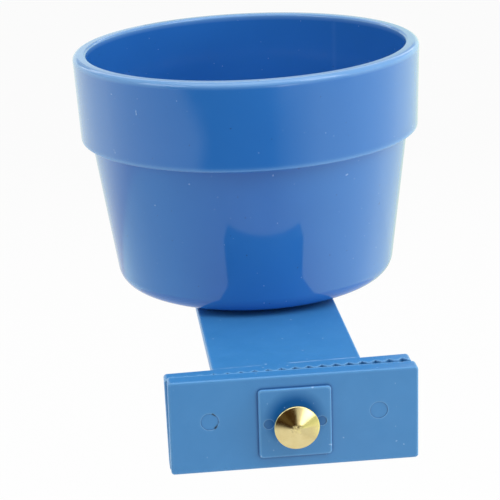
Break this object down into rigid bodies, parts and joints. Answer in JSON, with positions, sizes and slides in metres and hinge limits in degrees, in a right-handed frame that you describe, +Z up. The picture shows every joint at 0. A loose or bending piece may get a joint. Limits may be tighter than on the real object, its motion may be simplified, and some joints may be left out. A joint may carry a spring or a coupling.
{
  "type": "cage-mount seed cup",
  "caption": "Round stepped-rim plastic seed cup on a flat bracket arm, twist-locked, with a toothed jaw and clamp plate drawn together on cage wires by a bolt and wing nut.",
  "frame": {"origin": "on the bolt axis, in the plane of the bracket's tooth tips, where the cage wires are gripped", "axes": "+Y from the jaws towards the cup, +Z up along the cup's axis, +X to the right seen from the bolt head"},
  "size_m": [0.1018, 0.1415, 0.0978],
  "materials": {
    "blue_cup": "gloss",
    "blue_bracket": "satin",
    "brass_plate": "polished"
  },
  "bodies": {
    "bracket": {"bracket": "blue_bracket", "washer": "brass_plate"},
    "cup": {"cup": "blue_cup"},
    "clamp": {"clamp_plate": "blue_bracket", "carriage_bolt": "brass_plate"},
    "wing_nut": {"wing_nut": "brass_plate"}
  },
  "joints": [
    {"name": "cup_twist", "type": "hinge", "parent": "bracket", "child": "cup", "pos_m": [0, 0.0805, 0.0131], "axis": [0, 0, 1], "range_deg": [0, 90]},
    {"name": "wing_nut_turn", "type": "hinge", "parent": "bracket", "child": "wing_nut", "pos_m": [0, 0.0054, 0], "axis": [0, 1, 0], "range_deg": [0, 2160]},
    {"name": "clamp_slide", "type": "slide", "parent": "bracket", "child": "clamp", "axis": [0, -1, 0], "range_m": [0, 0.00635]}
  ],
  "couplings": [
    {"joint": "wing_nut_turn", "follows": "clamp_slide", "rad_per_m": 5936.9}
  ]
}
